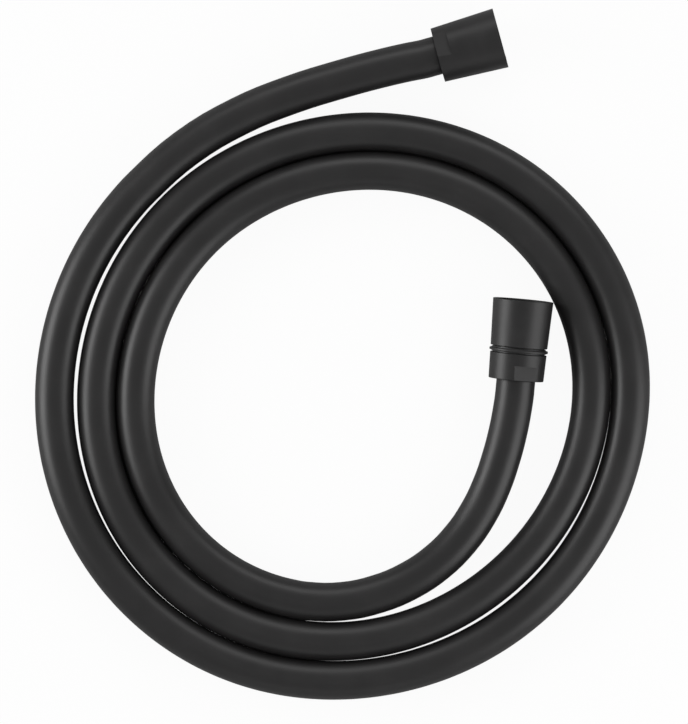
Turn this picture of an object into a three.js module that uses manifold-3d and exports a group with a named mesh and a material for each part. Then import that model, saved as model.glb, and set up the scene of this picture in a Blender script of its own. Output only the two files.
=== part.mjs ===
// A smooth black shower hose with a conical nut on one end and a swivel nut on the other,
// laid down as a loose flat coil of almost three turns. Millimetres, +Z up. The coil lies on
// z = 0 with X to the right and Y up the page, and the origin is under the middle of its box.

import * as THREE from "three";
import { mergeVertices } from "three/addons/utils/BufferGeometryUtils.js";
import Module from "manifold-3d";

const wasm = await Module();
wasm.setup();

// Hose: one bonded tube of soft PVC
const hoseDiameter = 14.8;
const hoseBore = 8.0;
const hoseSides = 12;

// Clearances
const runningGap = 0.3; // between pieces that move on each other
const seatGap = 0.2; // between pieces that sit on each other
const turnGap = 0.1; // between neighbouring turns, where the coil is pulled tight

// Coil: nested turns of one rounded outline, each a pitch inside the last
const coilCentre = [-0.12, -13.19];
const coilRadius = 110.6; // centreline of the outermost turn
const ovalSwell = 1.78;
const ovalAngle = 56.9;
const cornerSwell = 0.46;
const cornerAngle = -10.1;
const coilStartAngle = 135; // degrees, counted on from +X along the hose
const coilEndAngle = 980;
const coilSteps = 65;
const shiftStartAngle = 348; // where the outermost turn starts to step inwards
const shiftAngle = 141.5; // how far round it takes to move one pitch
const looseStretches = [ // where the outermost turn stands off the next one
  { angle: 170, halfAngle: 71, standOff: 1.29 },
  { angle: 310, halfAngle: 48, standOff: 0.92 },
];

// Half-inch pipe thread, cut in both nuts
const threadMinor = 18.63;
const threadMajor = 20.96;
const coneThreadReach = 10.2; // from the washer's face to the mouth of the conical nut
const mouthRelief = 0.2; // radial, past the thread's major diameter

// Flat rubber washers
const washerThickness = 2.0;
const washerHole = 10.4;

// Crimped hose ends
const crimpSqueeze = 0.35; // taken off the hose's radius
const crimpFlare = 1.0; // length over which the hose swells again behind its sleeve
const endOverlap = 0.5; // how far a pressed end runs into the plain tube
const sleeveWall = 0.45;
const sleeveInset = 0.9; // from the nut's rear face
const crimpGroove = 0.14; // depth of the rolled grooves
const crimpGrooveWidth = 1.1;
const crimpGroovePlaces = [0.36, 0.7]; // shares of the sleeve's length

// Barbed stems, which the hose ends are pushed onto
const waterway = 6.2;
const stemCrest = 8.4;
const barbDepth = 0.45;
const barbPitch = 2.2;
const stemOverhang = 1.6; // past the rear face of the nut
const edgeBreak = 0.4; // rounding of turned edges
const barbRise = 1.75; // length of each barb's slope, before it drops
const barbDrop = 0.1;

// Spanner flats, two on each rear end
const acrossFlats = 19.0;
const coneFlatLength = 5.3;
const collarFlatLength = 5.6;
const coneFlatTurn = -19.6; // degrees about the axis, from straight up
const collarFlatTurn = 20.5;

// Conical nut end
const coneLength = 24.9;
const coneRearDiameter = 21.1;
const coneMouthDiameter = 23.3;
const coneFlange = 1.6;
const coneSlipRingThickness = 1.0;
const coneRear = [74.24, -22.8]; // where its rear face meets its axis, given as the places below
const coneBearing = 15.3; // degrees from +X to the way its mouth points

// Swivel end, from the collar to the mouth of its nut
const swivelLength = 30.6;
const collarLength = 10.1;
const collarRearDiameter = 21.1;
const collarFrontDiameter = 21.7;
const collarWeb = 1.4;
const slipHubThickness = 2.0;
const slipRimThickness = 0.95;
const slipRimDiameter = 22.45;
const slipRimStep = 0.8; // how far the rim stands past the hub
const barrelRearDiameter = 21.8;
const barrelMouthDiameter = 23.15;
const spindleDiameter = 12.0;
const spindleFlange = 1.2;
const spindleEndLand = 0.7;
const barrelWeb = 3.7; // the wall that turns on the spindle
const thrustWasherThickness = 0.5;
const thrustWasherDiameter = 15.4;
const circlipThickness = 0.8;
const circlipDepth = 0.55; // how deep its groove is
const circlipProud = 1.0;
const circlipMouth = 40; // degrees that the open clip leaves out
const chamberDiameter = 16.4; // room in the barrel for the clip
const oRingSection = 1.15;
const oRingSides = 8;
const oRingGrooveWidth = 1.7;
const swivelLean = 2.0; // degrees that its mouth is tipped up, against the coil
const swivelRear = [3.62, 44.32];
const swivelBearing = 84.8;

// Free stretches of hose, off the coil. Each place is [degrees from +X about the coil's
// centre, how far inside the coil's circle], with the share of the climb to the nut's axis
const exitStep = 3.0; // straight length behind each stem
const coneStretch = [
  [78.8, -17.6, 0.86],
  [83.6, -13.4, 0.62],
  [89.9, -9.0, 0.34],
  [100.3, -4.4, 0.06],
  [110.6, -1.9, 0],
];
const swivelStretch = [
  [-80.4, 31.4, 0],
  [-70.9, 33.3, 0],
  [-61.4, 35.5, 0.02],
  [-51.9, 38.0, 0.08],
  [-42.4, 40.6, 0.2],
  [-32.8, 43.0, 0.38],
  [-23.1, 44.8, 0.57],
  [-14.4, 45.5, 0.74],
  [-6.3, 45.4, 0.89],
];

const turnedSides = 32;
const mergeDistance = 1e-4;
const hoseRadius = hoseDiameter / 2;
const radians = THREE.MathUtils.degToRad;

const materials = {
  hose: new THREE.MeshStandardMaterial({ color: 0x2f2d2e, roughness: 0.45, metalness: 0.0 }),
  nutBlack: new THREE.MeshStandardMaterial({ color: 0x302e2f, roughness: 0.5, metalness: 0.3 }),
  ringBlack: new THREE.MeshStandardMaterial({ color: 0x262526, roughness: 0.5, metalness: 0.0 }),
  brass: new THREE.MeshStandardMaterial({ color: 0xb8974e, roughness: 0.3, metalness: 1.0 }),
  steel: new THREE.MeshStandardMaterial({ color: 0xa9abad, roughness: 0.3, metalness: 1.0 }),
  nylon: new THREE.MeshStandardMaterial({ color: 0xe4e2da, roughness: 0.45, metalness: 0.0 }),
  rubber: new THREE.MeshStandardMaterial({ color: 0x1b1b1b, roughness: 0.8, metalness: 0.0 }),
};

function named(name, geometry, material) {
  const mesh = new THREE.Mesh(geometry, material);
  mesh.name = name;
  return mesh;
}

// Turned solids: a closed outline of [radius, distance along the axis], anticlockwise
function turned(outline) {
  const points = outline.map(([radius, along]) => new THREE.Vector2(radius, along));
  points.push(points[0].clone());
  return new THREE.LatheGeometry(points, turnedSides);
}

function toSolid(geometry) {
  const plain = geometry.index ? geometry.toNonIndexed() : geometry.clone();
  plain.deleteAttribute("normal");
  plain.deleteAttribute("uv");
  const merged = mergeVertices(plain, mergeDistance);
  return new wasm.Manifold(new wasm.Mesh({
    numProp: 3,
    vertProperties: new Float32Array(merged.attributes.position.array),
    triVerts: new Uint32Array(merged.index.array),
  }));
}

function toGeometry(solid) {
  const mesh = solid.getMesh();
  const geometry = new THREE.BufferGeometry();
  geometry.setAttribute("position", new THREE.BufferAttribute(mesh.vertProperties, 3));
  geometry.setIndex(new THREE.BufferAttribute(mesh.triVerts, 1));
  geometry.computeVertexNormals();
  return geometry;
}

// Two opposite flats milled into the rear end of a turned solid
function withSpannerFlats(geometry, length, turn) {
  const reach = coneMouthDiameter;
  const half = acrossFlats / 2;
  let solid = toSolid(geometry);
  for (const side of [1, -1]) {
    const cutter = new THREE.BoxGeometry(2 * reach, 2 * length, reach);
    cutter.translate(0, 0, side * (half + reach / 2));
    cutter.rotateY(radians(turn));
    solid = solid.subtract(toSolid(cutter));
  }
  return toGeometry(solid);
}

// Plan place of [degrees from +X about the coil's centre, how far inside its circle]
function placeByCoil([angle, inset]) {
  const reach = coilRadius - inset;
  return [
    coilCentre[0] + reach * Math.cos(radians(angle)),
    coilCentre[1] + reach * Math.sin(radians(angle)),
  ];
}

// Group whose +Y is the end's axis, rear and height its origin, and +Z as near up as it can be
function endGroup(rear, height, bearing, pitch) {
  const [x, y] = placeByCoil(rear);
  const along = new THREE.Vector3(
    Math.cos(radians(bearing)) * Math.cos(pitch),
    Math.sin(radians(bearing)) * Math.cos(pitch),
    Math.sin(pitch),
  );
  const right = new THREE.Vector3().crossVectors(along, new THREE.Vector3(0, 0, 1)).normalize();
  const up = new THREE.Vector3().crossVectors(right, along);
  const group = new THREE.Group();
  group.quaternion.setFromRotationMatrix(new THREE.Matrix4().makeBasis(right, along, up));
  group.position.set(x, y, height);
  group.updateMatrix();
  return group;
}

function axisPoint(group, distance) {
  return new THREE.Vector3(0, distance, 0).applyMatrix4(group.matrix);
}

// Sizes that both ends share
const crimpedRadius = hoseRadius - crimpSqueeze;
const stretchedBore = stemCrest / 2 + seatGap;
const sleeveInner = crimpedRadius + seatGap;
const sleeveOuter = sleeveInner + sleeveWall;
const polygonRadius = hoseRadius * Math.sqrt((2 * Math.PI / hoseSides) / Math.sin(2 * Math.PI / hoseSides));
const threadRadius = threadMinor / 2;
const washerRadius = threadRadius - runningGap;

// Thin ferrule with a lip turned in over the hose's cut end, and two rolled grooves
function crimpSleeve(rear, front) {
  const grooveCentres = crimpGroovePlaces.map((share) => rear + (front - rear) * share);
  const outline = [[sleeveOuter, rear]];
  for (const centre of grooveCentres) {
    outline.push([sleeveOuter, centre - crimpGrooveWidth / 2]);
    outline.push([sleeveOuter - crimpGroove, centre]);
    outline.push([sleeveOuter, centre + crimpGrooveWidth / 2]);
  }
  outline.push(
    [sleeveOuter, front],
    [stretchedBore + sleeveWall, front],
    [stretchedBore + sleeveWall, front - sleeveWall],
    [sleeveInner, front - sleeveWall],
    [sleeveInner, rear],
  );
  return turned(outline);
}

// Barbs of a stem, from its tip forwards, as the outer side of an outline
function barbedSide(tip, root) {
  const crest = stemCrest / 2;
  const outline = [[crest - barbDepth, tip]];
  const count = Math.floor((root - tip) / barbPitch) - 1;
  for (let i = 0; i < count; i++) {
    const start = tip + i * barbPitch;
    outline.push([crest, start + barbRise]);
    outline.push([crest - barbDepth, start + barbRise + barbDrop]);
  }
  outline.push([crest - barbDepth, root]);
  return outline;
}

// The pressed and swollen end of the hose, joined to its round tube behind the sleeve
function hoseEnd(rear, sleeveRear, cut) {
  return turned([
    [stretchedBore, rear],
    [hoseRadius, rear],
    [hoseRadius, sleeveRear - crimpFlare],
    [crimpedRadius, sleeveRear],
    [crimpedRadius, cut],
    [stretchedBore, cut],
  ]);
}

// Conical nut end: its pieces along the axis, from the mouth back
const coneWasherFront = coneLength - coneThreadReach;
const coneWasherBack = coneWasherFront - washerThickness;
const flangeFront = coneWasherBack - seatGap;
const flangeBack = flangeFront - coneFlange;
const slipRingFront = flangeBack - runningGap;
const slipRingBack = slipRingFront - coneSlipRingThickness;
const coneShoulder = slipRingBack - seatGap;
const coneRearBore = sleeveOuter + runningGap;
const coneTaper = Math.atan2((coneMouthDiameter - coneRearDiameter) / 2, coneLength);
const coneEnd = endGroup(coneRear, coneRearDiameter / 2 * Math.cos(coneTaper), coneBearing, coneTaper);

// Rear outer edge, rounded in two steps
function roundedRear(radius) {
  const corner = edgeBreak * (1 - Math.SQRT1_2);
  return [[radius - edgeBreak, 0], [radius - corner, corner], [radius, edgeBreak]];
}

function mouthSide(length, mouthRadius, seat) {
  const lead = threadMajor / 2 + mouthRelief;
  return [
    [mouthRadius, length],
    [lead, length],
    [threadRadius, length - (lead - threadRadius)],
    [threadRadius, seat],
  ];
}

function coneNut() {
  const rearRadius = coneRearDiameter / 2;
  const outline = [
    ...roundedRear(rearRadius),
    ...mouthSide(coneLength, coneMouthDiameter / 2, coneShoulder),
    [coneRearBore, coneShoulder],
    [coneRearBore, edgeBreak],
    [coneRearBore + edgeBreak, 0],
  ];
  return withSpannerFlats(turned(outline), coneFlatLength, coneFlatTurn);
}

function coneNipple() {
  const flangeRadius = threadRadius - runningGap;
  return turned([
    [waterway / 2, -stemOverhang],
    ...barbedSide(-stemOverhang, flangeBack),
    [flangeRadius, flangeBack],
    [flangeRadius, flangeFront],
    [waterway / 2 + edgeBreak, flangeFront],
    [waterway / 2, flangeFront - edgeBreak],
  ]);
}

function flatRing(inner, outer, back, front) {
  return turned([[inner, back], [outer, back], [outer, front], [inner, front]]);
}

coneEnd.add(
  named("cone_nut", coneNut(), materials.nutBlack),
  named("cone_slip_ring", flatRing(
    sleeveOuter + runningGap, threadRadius - seatGap, slipRingBack, slipRingFront,
  ), materials.nylon),
  named("cone_nipple", coneNipple(), materials.brass),
  named("cone_crimp_sleeve", crimpSleeve(sleeveInset, flangeBack - seatGap), materials.steel),
  named("cone_washer", flatRing(
    washerHole / 2, washerRadius, coneWasherBack, coneWasherFront,
  ), materials.rubber),
);
const coneHoseCut = flangeBack - seatGap - sleeveWall - seatGap;

// Swivel end: its pieces along the axis, from the collar forwards
const collarWebBack = collarLength - collarWeb;
const spindleFlangeFront = collarWebBack - seatGap;
const spindleFlangeBack = spindleFlangeFront - spindleFlange;
const slipHubBack = collarLength + seatGap;
const slipHubFront = slipHubBack + slipHubThickness;
const slipRimBack = (slipHubBack + slipHubFront - slipRimThickness) / 2;
const barrelRear = slipHubFront + runningGap;
const barrelWebFront = barrelRear + barrelWeb;
const thrustBack = barrelWebFront + runningGap;
const circlipBack = thrustBack + thrustWasherThickness + seatGap;
const circlipFront = circlipBack + circlipThickness;
const spindleFront = circlipFront + seatGap + spindleEndLand;
const barrelSeat = spindleFront + seatGap; // the swivel's washer spans the spindle's end
const spindleRadius = spindleDiameter / 2;
const swivelSlope = (barrelMouthDiameter - slipRimDiameter) / 2
  / (swivelLength - slipRimBack);
const swivelPitch = Math.atan(swivelSlope) + radians(swivelLean);
const swivelHeight = slipRimDiameter / 2 * Math.cos(swivelPitch)
  - slipRimBack * Math.sin(swivelPitch); // the rim rests on the ground
const swivelEnd = endGroup(swivelRear, swivelHeight, swivelBearing, swivelPitch);

function swivelCollar() {
  const rearRadius = collarRearDiameter / 2;
  const outline = [
    ...roundedRear(rearRadius),
    [collarFrontDiameter / 2, collarLength],
    [spindleRadius + seatGap, collarLength],
    [spindleRadius + seatGap, collarWebBack],
    [sleeveOuter + seatGap, collarWebBack],
    [sleeveOuter + seatGap, edgeBreak],
    [sleeveOuter + seatGap + edgeBreak, 0],
  ];
  return withSpannerFlats(turned(outline), collarFlatLength, collarFlatTurn);
}

// Bearing ring: a thick hub between collar and nut, and a thin rim that stands proud of both
function swivelSlipRing() {
  const rimRadius = slipRimDiameter / 2;
  const hubRadius = rimRadius - slipRimStep;
  const inner = spindleRadius + seatGap;
  return turned([
    [inner, slipHubBack],
    [hubRadius, slipHubBack],
    [hubRadius, slipRimBack],
    [rimRadius, slipRimBack],
    [rimRadius, slipRimBack + slipRimThickness],
    [hubRadius, slipRimBack + slipRimThickness],
    [hubRadius, slipHubFront],
    [inner, slipHubFront],
  ]);
}

// Spindle: barbed stem, flange behind the collar's web, O-ring groove and clip groove
const oRingGrooveRadius = spindleRadius - oRingSection - seatGap / 2;
const oRingGrooveBack = barrelRear + (barrelWeb - oRingGrooveWidth) / 2;
const circlipGrooveRadius = spindleRadius - circlipDepth;

function swivelSpindle() {
  return turned([
    [waterway / 2, -stemOverhang],
    ...barbedSide(-stemOverhang, spindleFlangeBack),
    [sleeveOuter, spindleFlangeBack],
    [sleeveOuter, spindleFlangeFront],
    [spindleRadius, spindleFlangeFront],
    [spindleRadius, oRingGrooveBack],
    [oRingGrooveRadius, oRingGrooveBack],
    [oRingGrooveRadius, oRingGrooveBack + oRingGrooveWidth],
    [spindleRadius, oRingGrooveBack + oRingGrooveWidth],
    [spindleRadius, circlipBack - seatGap],
    [circlipGrooveRadius, circlipBack - seatGap],
    [circlipGrooveRadius, circlipFront + seatGap],
    [spindleRadius, circlipFront + seatGap],
    [spindleRadius, spindleFront - edgeBreak],
    [spindleRadius - edgeBreak, spindleFront],
    [waterway / 2 + edgeBreak, spindleFront],
    [waterway / 2, spindleFront - edgeBreak],
  ]);
}

function swivelORing() {
  const section = oRingSection / 2;
  const outline = [];
  for (let i = 0; i < oRingSides; i++) {
    const angle = i / oRingSides * 2 * Math.PI;
    outline.push([
      spindleRadius - section + section * Math.cos(angle),
      oRingGrooveBack + oRingGrooveWidth / 2 + section * Math.sin(angle),
    ]);
  }
  return turned(outline);
}

// Open spring clip, stamped flat
function swivelCirclip() {
  const inner = circlipGrooveRadius + seatGap / 2;
  const outer = spindleRadius + circlipProud;
  const half = radians(circlipMouth / 2);
  const shape = new THREE.Shape();
  shape.absarc(0, 0, outer, half, 2 * Math.PI - half, false);
  shape.absarc(0, 0, inner, 2 * Math.PI - half, half, true);
  const geometry = new THREE.ExtrudeGeometry(shape, {
    depth: circlipThickness,
    bevelEnabled: false,
    curveSegments: turnedSides / 2,
  });
  geometry.rotateX(-Math.PI / 2);
  geometry.translate(0, circlipBack, 0);
  return geometry;
}

function swivelNut() {
  const rearRadius = barrelRearDiameter / 2;
  return turned([
    [spindleRadius + runningGap, barrelRear],
    [rearRadius - edgeBreak / 2, barrelRear],
    [rearRadius, barrelRear + edgeBreak / 2],
    ...mouthSide(swivelLength, barrelMouthDiameter / 2, barrelSeat),
    [chamberDiameter / 2, barrelSeat],
    [chamberDiameter / 2, barrelWebFront],
    [spindleRadius + runningGap, barrelWebFront],
  ]);
}

swivelEnd.add(
  named("swivel_collar", swivelCollar(), materials.nutBlack),
  named("swivel_slip_ring", swivelSlipRing(), materials.ringBlack),
  named("swivel_nut", swivelNut(), materials.nutBlack),
  named("swivel_spindle", swivelSpindle(), materials.brass),
  named("swivel_o_ring", swivelORing(), materials.rubber),
  named("swivel_thrust_washer", flatRing(
    spindleRadius + seatGap, thrustWasherDiameter / 2,
    thrustBack, thrustBack + thrustWasherThickness,
  ), materials.nylon),
  named("swivel_circlip", swivelCirclip(), materials.steel),
  named("swivel_crimp_sleeve", crimpSleeve(
    sleeveInset, spindleFlangeBack - seatGap,
  ), materials.steel),
  named("swivel_washer", flatRing(
    washerHole / 2, threadRadius - seatGap,
    barrelSeat + seatGap, barrelSeat + seatGap + washerThickness,
  ), materials.rubber),
);
const swivelHoseCut = spindleFlangeBack - seatGap - sleeveWall - seatGap;

// Route of the hose, from the conical nut round the coil to the swivel
const easeInOut = (t) => THREE.MathUtils.smootherstep(t, 0, 1);

// Rises from nothing at both ends of a stretch to its full stand-off at its middle
function standOffAt(angle, stretch) {
  const share = THREE.MathUtils.clamp((angle - stretch.angle) / stretch.halfAngle, -1, 1);
  return stretch.standOff * (1 + Math.cos(Math.PI * share)) / 2;
}

function coilPoint(angle) {
  const turnPitch = hoseDiameter + turnGap;
  const turnsIn = easeInOut((angle - shiftStartAngle) / shiftAngle)
    + easeInOut((angle - 360 - shiftStartAngle) / shiftAngle);
  let radius = coilRadius - turnPitch * turnsIn
    + ovalSwell * Math.cos(2 * radians(angle - ovalAngle))
    + cornerSwell * Math.cos(3 * radians(angle - cornerAngle));
  for (const stretch of looseStretches) radius += standOffAt(angle, stretch);
  return new THREE.Vector3(
    coilCentre[0] + radius * Math.cos(radians(angle)),
    coilCentre[1] + radius * Math.sin(radians(angle)),
    hoseRadius,
  );
}

function freePoint([angle, inset, climb], axisHeight) {
  const [x, y] = placeByCoil([angle, inset]);
  return new THREE.Vector3(x, y, hoseRadius + climb * (axisHeight - hoseRadius));
}

// The tube starts behind the tip of each stem, and leaves it along the stem's axis
const tubeStart = -stemOverhang - crimpFlare;
const coneExit = [0, exitStep].map((past) => axisPoint(coneEnd, tubeStart - past));
const swivelExit = [exitStep, 0].map((past) => axisPoint(swivelEnd, tubeStart - past));

const routePoints = [
  ...coneExit,
  ...coneStretch.map((point) => freePoint(point, coneExit[0].z)),
  ...Array.from({ length: coilSteps + 1 }, (_, i) =>
    coilPoint(coilStartAngle + (coilEndAngle - coilStartAngle) * i / coilSteps)),
  ...swivelStretch.map((point) => freePoint(point, swivelExit[1].z)),
  ...swivelExit,
];

// One section at each point, so that the flats of neighbouring turns stay parallel
class HoseRoute extends THREE.CatmullRomCurve3 {
  getUtoTmapping(u) {
    return u;
  }
}

// A polygon of the same area as the round section, with a flat underneath
function hoseSection(radius) {
  const corners = [];
  for (let i = 0; i < hoseSides; i++) {
    const angle = (i + 0.5) / hoseSides * 2 * Math.PI;
    corners.push(new THREE.Vector2(radius * Math.cos(angle), radius * Math.sin(angle)));
  }
  return corners;
}

function hose() {
  const shape = new THREE.Shape(hoseSection(polygonRadius));
  shape.holes.push(new THREE.Path(hoseSection(polygonRadius * hoseBore / hoseDiameter)));
  const tube = new THREE.ExtrudeGeometry(shape, {
    steps: routePoints.length - 1,
    extrudePath: new HoseRoute(routePoints),
    bevelEnabled: false,
  });
  let solid = toSolid(tube);
  const ends = [[coneEnd, coneHoseCut], [swivelEnd, swivelHoseCut]];
  for (const [group, cut] of ends) {
    const end = hoseEnd(tubeStart - endOverlap, sleeveInset, cut);
    end.applyMatrix4(group.matrix);
    solid = solid.add(toSolid(end));
  }
  return toGeometry(solid);
}

const part = new THREE.Group();
part.add(named("hose", hose(), materials.hose), coneEnd, swivelEnd);

// Origin under the middle of the whole outline
const wholeBox = new THREE.Box3().setFromObject(part, true);
const middle = wholeBox.getCenter(new THREE.Vector3());
part.position.set(-middle.x, -middle.y, 0);
part.updateMatrixWorld(true);

export default part;
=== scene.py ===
import math

import bmesh
import bpy
from mathutils import Matrix, Vector


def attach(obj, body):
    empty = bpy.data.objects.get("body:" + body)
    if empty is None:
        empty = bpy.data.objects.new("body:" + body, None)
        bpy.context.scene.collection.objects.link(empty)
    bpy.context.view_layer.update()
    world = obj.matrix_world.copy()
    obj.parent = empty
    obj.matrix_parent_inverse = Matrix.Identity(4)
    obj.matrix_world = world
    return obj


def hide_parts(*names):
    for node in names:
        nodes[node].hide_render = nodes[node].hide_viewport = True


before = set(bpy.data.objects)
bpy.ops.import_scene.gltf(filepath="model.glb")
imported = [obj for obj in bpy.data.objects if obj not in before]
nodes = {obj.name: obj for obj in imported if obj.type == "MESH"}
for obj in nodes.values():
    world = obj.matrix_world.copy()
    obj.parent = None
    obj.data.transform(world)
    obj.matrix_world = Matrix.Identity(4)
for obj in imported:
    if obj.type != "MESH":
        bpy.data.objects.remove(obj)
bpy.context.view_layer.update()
mm = 0.001
scene = bpy.context.scene
collection = bpy.context.collection


def report(stage):
    print("shower hose:", stage)


# The picture: straight down, with the height of view that the coil fills
picture = {
    "centre": (0.55 * mm, -3.02 * mm, 7.4 * mm),
    "viewHeight": 277.7 * mm,
    "distance": 2000 * mm,
    "sensorHeight": 24.0,
    "nearest": 10 * mm, "farthest": 30.0,
}


def addCamera(name):
    data = bpy.data.cameras.new(name)
    data.sensor_fit = "VERTICAL"
    data.sensor_height = picture["sensorHeight"]
    data.lens = picture["sensorHeight"] * picture["distance"] / picture["viewHeight"]
    data.clip_start = picture["nearest"]
    data.clip_end = picture["farthest"]
    camera = bpy.data.objects.new(name, data)
    camera.location = Vector(picture["centre"]) + Vector((0, 0, picture["distance"]))
    collection.objects.link(camera)
    scene.camera = camera


addCamera("pictureCamera")
report("camera placed")

# The coil: nested turns of one rounded outline, each a pitch inside the last
coil = {
    "centre": (0.240 * mm, -13.908 * mm),
    "radius": 110.6 * mm,
    "turnPitch": 14.9 * mm,
    "ovalSwell": 1.78 * mm, "ovalAngle": 56.9,
    "cornerSwell": 0.46 * mm, "cornerAngle": -10.1,
    "startAngle": 135, "endAngle": 980, "steps": 195,
    "shiftStartAngle": 348, "shiftAngle": 141.5,
    # angle, half length and height of the stretches where the outermost turn stands off
    "looseStretches": ((170, 71, 1.29 * mm), (310, 48, 0.92 * mm)),
}
# The two ends: place is degrees round the coil's centre, and how far inside its circle
coneEnd = {"place": (74.24, -22.8), "height": 10.54 * mm, "bearing": 15.3, "pitch": 2.53}
swivelEnd = {"place": (3.62, 44.32), "height": 10.64 * mm, "bearing": 84.8, "pitch": 3.014}


def placeByCoil(angle, inset):
    reach = coil["radius"] - inset * mm
    around = math.radians(angle)
    x, y = coil["centre"]
    return (x + reach * math.cos(around), y + reach * math.sin(around))


def endMatrix(end):
    # local Y runs along the axis to the mouth, and local Z is as near up as it can be
    bearing = math.radians(end["bearing"])
    pitch = math.radians(end["pitch"])
    along = Vector((
        math.cos(bearing) * math.cos(pitch),
        math.sin(bearing) * math.cos(pitch),
        math.sin(pitch),
    ))
    right = along.cross(Vector((0, 0, 1))).normalized()
    turn = Matrix((right, along, right.cross(along))).transposed().to_4x4()
    return Matrix.Translation((*placeByCoil(*end["place"]), end["height"])) @ turn


coneMatrix = endMatrix(coneEnd)
swivelMatrix = endMatrix(swivelEnd)


def onAxis(matrix, distance):
    return matrix @ Vector((0, distance * mm, 0))


# The hose: lengths along an end's axis are in millimetres from its rear face
hoseSizes = {
    "diameter": 14.9 * mm,  # a hair over the solid's 14.8, so that turns that touch look it
    "wall": 3.4 * mm,
    "pressedDiameter": 14.1 * mm,  # under the crimp sleeves
    "pressedWall": 2.65 * mm,
    "pressedFrom": 0.3 * mm, "pressedTo": 12 * mm,
    "coneInside": (10.05, 5.0, 0.9),
    "coneOutside": (-0.1, -2.6, -5.6),
    "swivelOutside": (-5.6, -2.6, -0.1),
    "swivelInside": (0.9, 3.2, 6.45),
    "bevelResolution": 20,  # gives 44 sides
    "stepsPerPoint": 4,
}
# Free runs of hose: places by the coil, and the share of the climb to the nut's axis
coneRun = [
    (78.8, -17.6, 0.86),
    (83.6, -13.4, 0.62),
    (89.9, -9.0, 0.34),
    (100.3, -4.4, 0.06),
    (110.6, -1.9, 0.0),
    (122.8, -0.2, 0.0),
]
swivelRun = [
    (-90.2, 29.7, 0.0),
    (-80.4, 31.4, 0.0),
    (-70.9, 33.3, 0.0),
    (-61.4, 35.5, 0.02),
    (-51.9, 38.0, 0.08),
    (-42.4, 40.6, 0.2),
    (-32.8, 43.0, 0.38),
    (-23.1, 44.8, 0.57),
    (-14.4, 45.5, 0.74),
    (-6.3, 45.4, 0.89),
]


def easeInOut(share):
    t = min(max(share, 0.0), 1.0)
    return t ** 3 * (t * (6 * t - 15) + 10)


def coilPoint(angle):
    turnsIn = easeInOut((angle - coil["shiftStartAngle"]) / coil["shiftAngle"])
    turnsIn += easeInOut((angle - 360 - coil["shiftStartAngle"]) / coil["shiftAngle"])
    radius = coil["radius"] - coil["turnPitch"] * turnsIn
    radius += coil["ovalSwell"] * math.cos(2 * math.radians(angle - coil["ovalAngle"]))
    radius += coil["cornerSwell"] * math.cos(3 * math.radians(angle - coil["cornerAngle"]))
    for middle, halfAngle, standOff in coil["looseStretches"]:
        share = min(max((angle - middle) / halfAngle, -1), 1)
        radius += standOff * (1 + math.cos(math.pi * share)) / 2
    around = math.radians(angle)
    return Vector((
        coil["centre"][0] + radius * math.cos(around),
        coil["centre"][1] + radius * math.sin(around),
        hoseSizes["diameter"] / 2,
    ))


def freePoint(point, axisHeight):
    angle, inset, climb = point
    rest = hoseSizes["diameter"] / 2
    return Vector((*placeByCoil(angle, inset), rest + climb * (axisHeight - rest)))


def hoseRoute():
    # each entry is a point, and the hose's radius there as a share of its plain radius
    pressed = hoseSizes["pressedDiameter"] / hoseSizes["diameter"]
    coneTop = onAxis(coneMatrix, hoseSizes["coneOutside"][1]).z
    swivelTop = onAxis(swivelMatrix, hoseSizes["swivelOutside"][1]).z
    route = [(onAxis(coneMatrix, d), pressed) for d in hoseSizes["coneInside"]]
    route += [(onAxis(coneMatrix, d), 1.0) for d in hoseSizes["coneOutside"]]
    route += [(freePoint(p, coneTop), 1.0) for p in coneRun]
    span = coil["endAngle"] - coil["startAngle"]
    for i in range(coil["steps"] + 1):
        route.append((coilPoint(coil["startAngle"] + span * i / coil["steps"]), 1.0))
    route += [(freePoint(p, swivelTop), 1.0) for p in swivelRun]
    route += [(onAxis(swivelMatrix, d), 1.0) for d in hoseSizes["swivelOutside"]]
    route += [(onAxis(swivelMatrix, d), pressed) for d in hoseSizes["swivelInside"]]
    return route


def curveMesh(name, route, bevelDepth):
    curve = bpy.data.curves.new(name, "CURVE")
    curve.dimensions = "3D"
    curve.bevel_depth = bevelDepth
    curve.bevel_resolution = hoseSizes["bevelResolution"]
    curve.resolution_u = hoseSizes["stepsPerPoint"]
    spline = curve.splines.new("BEZIER")
    spline.bezier_points.add(len(route) - 1)
    for knot, (place, share) in zip(spline.bezier_points, route):
        knot.co = place
        knot.radius = share
        knot.handle_left_type = "AUTO"
        knot.handle_right_type = "AUTO"
    holder = bpy.data.objects.new(name, curve)
    collection.objects.link(holder)
    bpy.context.view_layer.update()
    shaped = holder.evaluated_get(bpy.context.evaluated_depsgraph_get())
    mesh = bpy.data.meshes.new_from_object(shaped)
    bpy.data.objects.remove(holder)
    return mesh


def markSurface(mesh, line):
    # place round and along the hose, in metres: the skin's lines follow this
    ringSize = len(mesh.vertices) // len(line)
    radius = hoseSizes["diameter"] / 2
    travelled = 0.0
    marks = mesh.attributes.new("hoseSurface", "FLOAT_VECTOR", "POINT")
    for i, centre in enumerate(line):
        if i:
            travelled += (centre - line[i - 1]).length
        for j in range(ringSize):
            around = 2 * math.pi * j / ringSize
            place = (math.cos(around) * radius, math.sin(around) * radius, travelled)
            marks.data[i * ringSize + j].vector = place
    return travelled


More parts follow.
